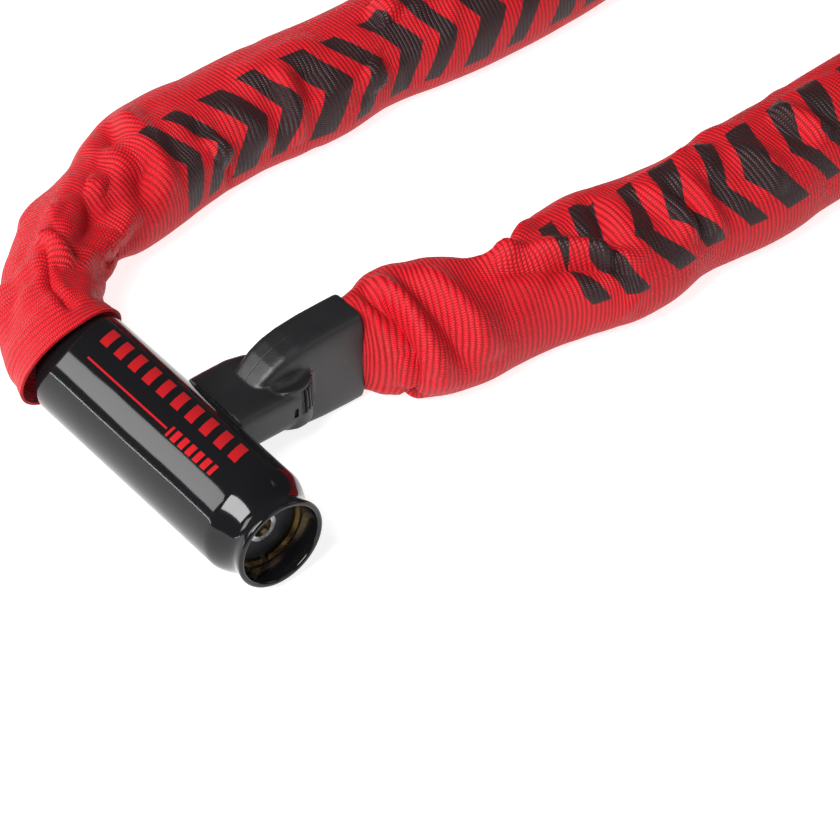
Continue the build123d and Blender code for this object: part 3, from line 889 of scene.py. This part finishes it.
LIP_OUT, LIP_IN, LIP_ROUND = 13.64, 12.0, 0.85
NECK_R, NECK_AT, SHOULDER, REAR_ROUND = 13.0, 4.2, 13.0, 5.0
TUBE_IN, TUBE_OUT, TUBE_FRONT, TUBE_REAR = 11.5, 14.5, 7.0, 92.5
WINDOW_HALF_Y, WINDOW_HALF_Z, SLOT_HALF, SLOT_DEEP = 10.4, 5.9, 4.1, 3.6
neck = [
    (NECK_R + (LIP_OUT - NECK_R) * (1 - ease(t)), LIP_ROUND + (NECK_AT - LIP_ROUND) * t)
    for t in np.linspace(0, 1, 8)[1:]
]
flare = [
    (NECK_R + (BARREL_R - NECK_R) * ease(t), NECK_AT + (SHOULDER - NECK_AT) * t)
    for t in np.linspace(0, 1, 14)[1:]
]
outline = (
    arc((LIP_IN + LIP_ROUND, LIP_ROUND), LIP_ROUND, 180, 360, 12)
    + neck
    + flare
    + [(BARREL_R, y) for y in np.linspace(SHOULDER + 4, BARREL_LEN - REAR_ROUND - 4, 12)]
    + arc((BARREL_R - REAR_ROUND, BARREL_LEN - REAR_ROUND), REAR_ROUND, 0, 90, 12)
    + [(BARREL_R - REAR_ROUND, TUBE_REAR), (TUBE_IN, TUBE_REAR), (TUBE_OUT, TUBE_REAR - 3)]
    + [(TUBE_OUT, TUBE_FRONT + 3), (LIP_IN, TUBE_FRONT)]
)
skin = spun("barrel_skin", outline, 144)
window = block(
    "window",
    (0, TONGUE_Y - WINDOW_HALF_Y, -WINDOW_HALF_Z),
    (20, TONGUE_Y + WINDOW_HALF_Y, WINDOW_HALF_Z),
)
cut(skin, window, "window")
slot = block("slot", (-17, BARREL_LEN - SLOT_DEEP, -SLOT_HALF), (17, BARREL_LEN + 1, SLOT_HALF))
cut(skin, slot, "slot")
skin.data.set_sharp_from_angle(angle=math.radians(40))
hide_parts("barrel_cover")
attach(skin, "lock_body")
print("skin has", len(skin.data.polygons), "faces")

# %% [markdown]
# ## The rubber boot
# Next to the barrel the boot is wide and low. Then it turns tall and narrow, because the link inside stands
# on edge. A round pad on the front side is where a thumb pushes, and a bridge joins it to the low form. The
# four are melted into one skin by a voxel remesh, and smoothed, which gives the soft hollows of moulded
# rubber.


# %% Boot forms
def loft(name, sections, power, count=48):
    """Closed form through rounded sections, each (x, y, z, half y, half z), along X."""
    bm = bmesh.new()
    angles = np.linspace(0, 2 * math.pi, count, endpoint=False)
    rings = []
    for x, y, z, half_y, half_z in sections:
        ring = [
            bm.verts.new(
                (
                    x,
                    y + half_y * float(signed_power(math.cos(a), 2 / power)),
                    z + half_z * float(signed_power(math.sin(a), 2 / power)),
                )
            )
            for a in angles
        ]
        rings.append(ring)
    for first, second in zip(rings, rings[1:]):
        for i in range(count):
            j = (i + 1) % count
            bm.faces.new((first[i], first[j], second[j], second[i]))
    bm.faces.new(rings[0][::-1])
    bm.faces.new(rings[-1])
    bmesh.ops.recalc_face_normals(bm, faces=bm.faces)
    return finish_mesh(name, bm)


def join(pieces, name):
    """One object from several."""
    bm = bmesh.new()
    for piece in pieces:
        bm.from_mesh(piece.data)
        bpy.data.objects.remove(piece)
    bmesh.ops.scale(bm, vec=(1 / MM, 1 / MM, 1 / MM), verts=bm.verts)
    return finish_mesh(name, bm)


def boot_section(x, half_y, half_z, z=0.0, y=TONGUE_Y):
    return (x, y, z, half_y, half_z)


low_form = loft(
    "low form",
    [
        boot_section(12.0, 12.3, 6.7),
        boot_section(20, 12.5, 6.9),
        boot_section(28, 12.4, 7.1),
        boot_section(33, 11.2, 6.9),
        boot_section(37, 9.0, 6.4),
        boot_section(41, 7.0, 5.8),
        boot_section(45, 5.5, 5.0),
    ],
    4.5,
)
tall_form = loft(
    "tall form",
    [
        boot_section(24.5, 4.0, 4.5),
        boot_section(26.5, 5.2, 7.4),
        boot_section(29, 6.0, 9.6),
        boot_section(32, 6.6, 11.8),
        boot_section(36, 7.0, 13.6),
        boot_section(41, 7.2, 14.8),
        boot_section(48, 7.3, 15.5),
        boot_section(56, 7.3, 15.75),
        boot_section(BOOT_END, 7.3, 15.75),
    ],
    5.5,
)
PAD_X, PAD_Y, PAD_R, PAD_TOP, PAD_BOTTOM = 36.2, TONGUE_Y - 5.3, 7.3, 7.2, -6.8
thumb = bmesh.new()
bmesh.ops.create_cone(
    thumb, cap_ends=True, segments=64, radius1=PAD_R, radius2=PAD_R - 0.5, depth=PAD_TOP - PAD_BOTTOM
)
bmesh.ops.translate(thumb, vec=(PAD_X, PAD_Y, (PAD_TOP + PAD_BOTTOM) / 2), verts=thumb.verts)
thumb_form = finish_mesh("thumb form", thumb)
bridge = loft("bridge", [(x, PAD_Y + 2.2, 0.0, PAD_R + 2.1, 6.9) for x in (16.0, 26.0, PAD_X)], 4.5)
boot = join([low_form, tall_form, thumb_form, bridge], "rubber_boot")
VOXEL = 0.42
melt = boot.modifiers.new("melt", "REMESH")
melt.mode = "VOXEL"
melt.voxel_size = VOXEL * MM
apply_modifiers(boot)
soften = boot.modifiers.new("soften", "SMOOTH")
soften.factor = 0.5
soften.iterations = 9
apply_modifiers(boot)


# %% [markdown]
# Some vertices are then moved by rule. The pad's top is dished for a thumb, and its outer edge gets upright
# serrations. The saddle that faces the barrel follows it with a small gap. A socket in the tall end takes
# the cloth, and a small square notch is cut in the pad's edge.

# %% Boot details
DISH, GROOVE, GROOVE_RATE = 1.7, 0.5, 30       # depths in mm, and how fast the grooves alternate
SOCKET_HALF_Y, SOCKET_HALF_Z = 5.7, 14.1
points = np.empty(len(boot.data.vertices) * 3)
boot.data.vertices.foreach_get("co", points)
points = points.reshape(-1, 3) / MM
dx, dy = points[:, 0] - PAD_X, points[:, 1] - PAD_Y
reach = np.hypot(dx, dy)
dish = np.exp(-(((dx + 1.5) / 4.6) ** 2) - ((dy + 1.5) / 3.6) ** 2)
on_top = np.clip((points[:, 2] - 4) / 2, 0, 1) * np.clip((TONGUE_Y - 7 - points[:, 1]) / 1.5, 0, 1)
points[:, 2] -= DISH * dish * on_top
turn = np.arctan2(dy, dx)
edge = np.exp(-(((reach - PAD_R) / 1.2) ** 2)) * (np.abs(points[:, 2] - 1.6) < 4.2)
edge = edge * (turn < -0.1) * (turn > -1.5)
groove = GROOVE * edge * np.sign(np.sin(turn * GROOVE_RATE))
points[:, 0] -= groove * dx / np.maximum(reach, 1e-6)
points[:, 1] -= groove * dy / np.maximum(reach, 1e-6)
gap = BARREL_R + 0.9
inside = np.hypot(points[:, 0], points[:, 2]) < gap
points[inside, 0] = np.sqrt(np.maximum(gap**2 - points[inside, 2] ** 2, 1.0))
boot.data.vertices.foreach_set("co", (points * MM).reshape(-1))
socket = loft(
    "socket",
    [
        boot_section(48, SOCKET_HALF_Y, SOCKET_HALF_Z),
        boot_section(BOOT_END - 1.2, SOCKET_HALF_Y, SOCKET_HALF_Z),
        boot_section(BOOT_END + 2, SOCKET_HALF_Y + 0.4, SOCKET_HALF_Z + 0.4),
    ],
    5.0,
)
cut(boot, socket, "socket")
notch_low, notch_high = (PAD_X - 2.6, PAD_Y - PAD_R - 1, -2.2), (PAD_X - 1.2, PAD_Y - PAD_R + 0.9, 0.8)
cut(boot, block("notch", notch_low, notch_high), "notch")
boot.data.polygons.foreach_set("use_smooth", [True] * len(boot.data.polygons))
boot.data.set_sharp_from_angle(angle=math.radians(50))
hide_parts("boot")
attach(boot, "chain_end")
print("boot has", len(boot.data.polygons), "faces")


# %% [markdown]
# ## Steel, rubber and vinyl
# The hard pieces keep their CAD shapes. Each finish is a small tree that breaks up roughness and colour on
# Object coordinates, because no machined or plated surface is quite even.


# %% Metals
def metal(name, colour, roughness, grain=900.0, mottle=0.0, second=None, bump=0.00002):
    """Plated or machined metal with fine grain, and a second tint where mottle is above 0."""
    material, tree, shader = new_material(name, Metallic=1.0)
    place = add(tree, "ShaderNodeTexCoord").outputs["Object"]
    fine = add(tree, "ShaderNodeTexNoise", {"Vector": place, "Scale": grain, "Detail": 3.0}).outputs["Fac"]
    broad = add(tree, "ShaderNodeTexNoise", {"Vector": place, "Scale": 120.0, "Detail": 2.0}).outputs["Fac"]
    factor = sums(tree, "MULTIPLY", broad, mottle)
    tinted = mix_colour(tree, factor, (*colour, 1), (*(second or colour), 1))
    tree.links.new(tinted, shader.inputs["Base Color"])
    tree.links.new(sums(tree, "MULTIPLY_ADD", fine, 0.18, roughness - 0.09), shader.inputs["Roughness"])
    relief = add(tree, "ShaderNodeBump", {"Height": fine, "Strength": 0.4, "Distance": bump})
    tree.links.new(relief.outputs["Normal"], shader.inputs["Normal"])
    return material


finishes = {
    "zinc_yellow": metal(
        "yellow zinc", (0.62, 0.50, 0.24), 0.26, mottle=1.3, second=(0.50, 0.34, 0.26)
    ),
    # Painted shade: the front ring's zinc is darker because the mouth's lip shades it.
    "zinc_with_painted_shade": metal("zinc with painted shade", (0.15, 0.12, 0.065), 0.30),
    "dark_steel": metal("dark hardened steel", (0.055, 0.055, 0.06), 0.50, grain=2600, bump=0.0001),
    "hard_steel": metal("hardened steel", (0.40, 0.40, 0.42), 0.38),
    "bright_steel": metal("bright steel", (0.74, 0.75, 0.76), 0.22),
    "brass": metal("brass", (0.72, 0.52, 0.22), 0.30),
    "chain_steel": metal(
        "zinc plated chain", (0.52, 0.53, 0.55), 0.36, mottle=0.6, second=(0.40, 0.40, 0.38)
    ),
}


# %% [markdown]
# The boot is moulded rubber, black and satin, with the fine pebble that a spark-eroded mould leaves.

# %% Rubber
rubber, tree, shader = new_material("boot rubber", Specular_IOR_Level=0.45)
place = add(tree, "ShaderNodeTexCoord").outputs["Object"]
pebble = add(tree, "ShaderNodeTexVoronoi", {"Vector": place, "Scale": 2600.0}).outputs["Distance"]
cloudy = add(tree, "ShaderNodeTexNoise", {"Vector": place, "Scale": 90.0, "Detail": 3.0}).outputs["Fac"]
tree.links.new(
    mix_colour(tree, cloudy, (0.006, 0.006, 0.007, 1), (0.012, 0.012, 0.013, 1)), shader.inputs["Base Color"]
)
tree.links.new(sums(tree, "MULTIPLY_ADD", cloudy, 0.14, 0.34), shader.inputs["Roughness"])
seam = add(tree, "ShaderNodeSeparateXYZ", {0: place}).outputs["Y"]
seam = band(tree, sums(tree, "MULTIPLY", seam, 1 / MM), TONGUE_Y - 0.12, TONGUE_Y + 0.12, 0.08)
height = sums(tree, "SUBTRACT", sums(tree, "MULTIPLY", pebble, 0.35), seam)
relief = add(tree, "ShaderNodeBump", {"Height": height, "Strength": 0.6, "Distance": 0.00018})
tree.links.new(relief.outputs["Normal"], shader.inputs["Normal"])
finishes["boot_rubber"] = rubber


# %% [markdown]
# The barrel was dipped in vinyl, so it is glossy, a little wavy, and thick at its edges. Plain red shapes are
# printed on it: a row of slanted bars, a thin line beside them, and a row of small blocks nearer the mouth.
# Each is a band of the angle round the barrel times a band of the distance down it.

# %% Vinyl with its print
BAR_REPEAT, BLOCK_REPEAT = 6.4, 3.3            # mm
vinyl, tree, shader = new_material("dipped vinyl", Specular_IOR_Level=0.34)
split = add(tree, "ShaderNodeSeparateXYZ", {0: add(tree, "ShaderNodeTexCoord").outputs["Object"]})
turn = sums(tree, "DEGREES", sums(tree, "ARCTAN2", split.outputs["Z"], split.outputs["X"]))
down = sums(tree, "MULTIPLY", split.outputs["Y"], 1 / MM)
slanted = sums(tree, "ADD", down, sums(tree, "MULTIPLY", sums(tree, "SUBTRACT", turn, 80), 0.11))
bars = band(tree, sums(tree, "MODULO", slanted, BAR_REPEAT), 1.2, 4.6, 0.05)
bars = sums(tree, "MULTIPLY", bars, band(tree, turn, 68, 92, 0.25))
bars = sums(tree, "MULTIPLY", bars, band(tree, slanted, 20.0, 82.0, 0.05))
line = sums(tree, "MULTIPLY", band(tree, turn, 111, 113, 0.25), band(tree, down, 42, 78, 0.1))
blocks = band(tree, sums(tree, "MODULO", down, BLOCK_REPEAT), 0.5, 2.6, 0.05)
blocks = sums(tree, "MULTIPLY", blocks, band(tree, turn, 106, 118, 0.3))
blocks = sums(tree, "MULTIPLY", blocks, band(tree, down, 21, 41, 0.1))
printed = sums(tree, "MAXIMUM", sums(tree, "MAXIMUM", bars, line), blocks)
base = mix_colour(tree, printed, (0.006, 0.006, 0.007, 1), (0.42, 0.010, 0.014, 1))
tree.links.new(base, shader.inputs["Base Color"])
tree.links.new(sums(tree, "MULTIPLY_ADD", printed, 0.10, 0.09), shader.inputs["Roughness"])
place = add(tree, "ShaderNodeTexCoord").outputs["Object"]
wavy = add(tree, "ShaderNodeTexNoise", {"Vector": place, "Scale": 55.0, "Detail": 1.0}).outputs["Fac"]
relief = add(tree, "ShaderNodeBump", {"Height": wavy, "Strength": 0.25, "Distance": 0.0008})
tree.links.new(relief.outputs["Normal"], shader.inputs["Normal"])
finishes["vinyl"] = vinyl

# %% [markdown]
# A part's slot in the record says which finish it has. The front ring is the one exception: it is plated like the
# tube, and its zinc is painted darker as painted shade where the mouth's lip shades it.

# %% Give each CAD part its finish
for row in frame["record"]["subparts"]:
    # The front ring takes the darker zinc, painted shade from the mouth's lip.
    finish = "zinc_with_painted_shade" if row["node"] == "front_ring" else row["material_slot"]
    if finish in finishes:
        paint(frame["nodes"][row["node"]], finishes[finish])
paint(skin, finishes["vinyl"])
paint(boot, finishes["boot_rubber"])
print("finishes on", len(frame["nodes"]), "parts")
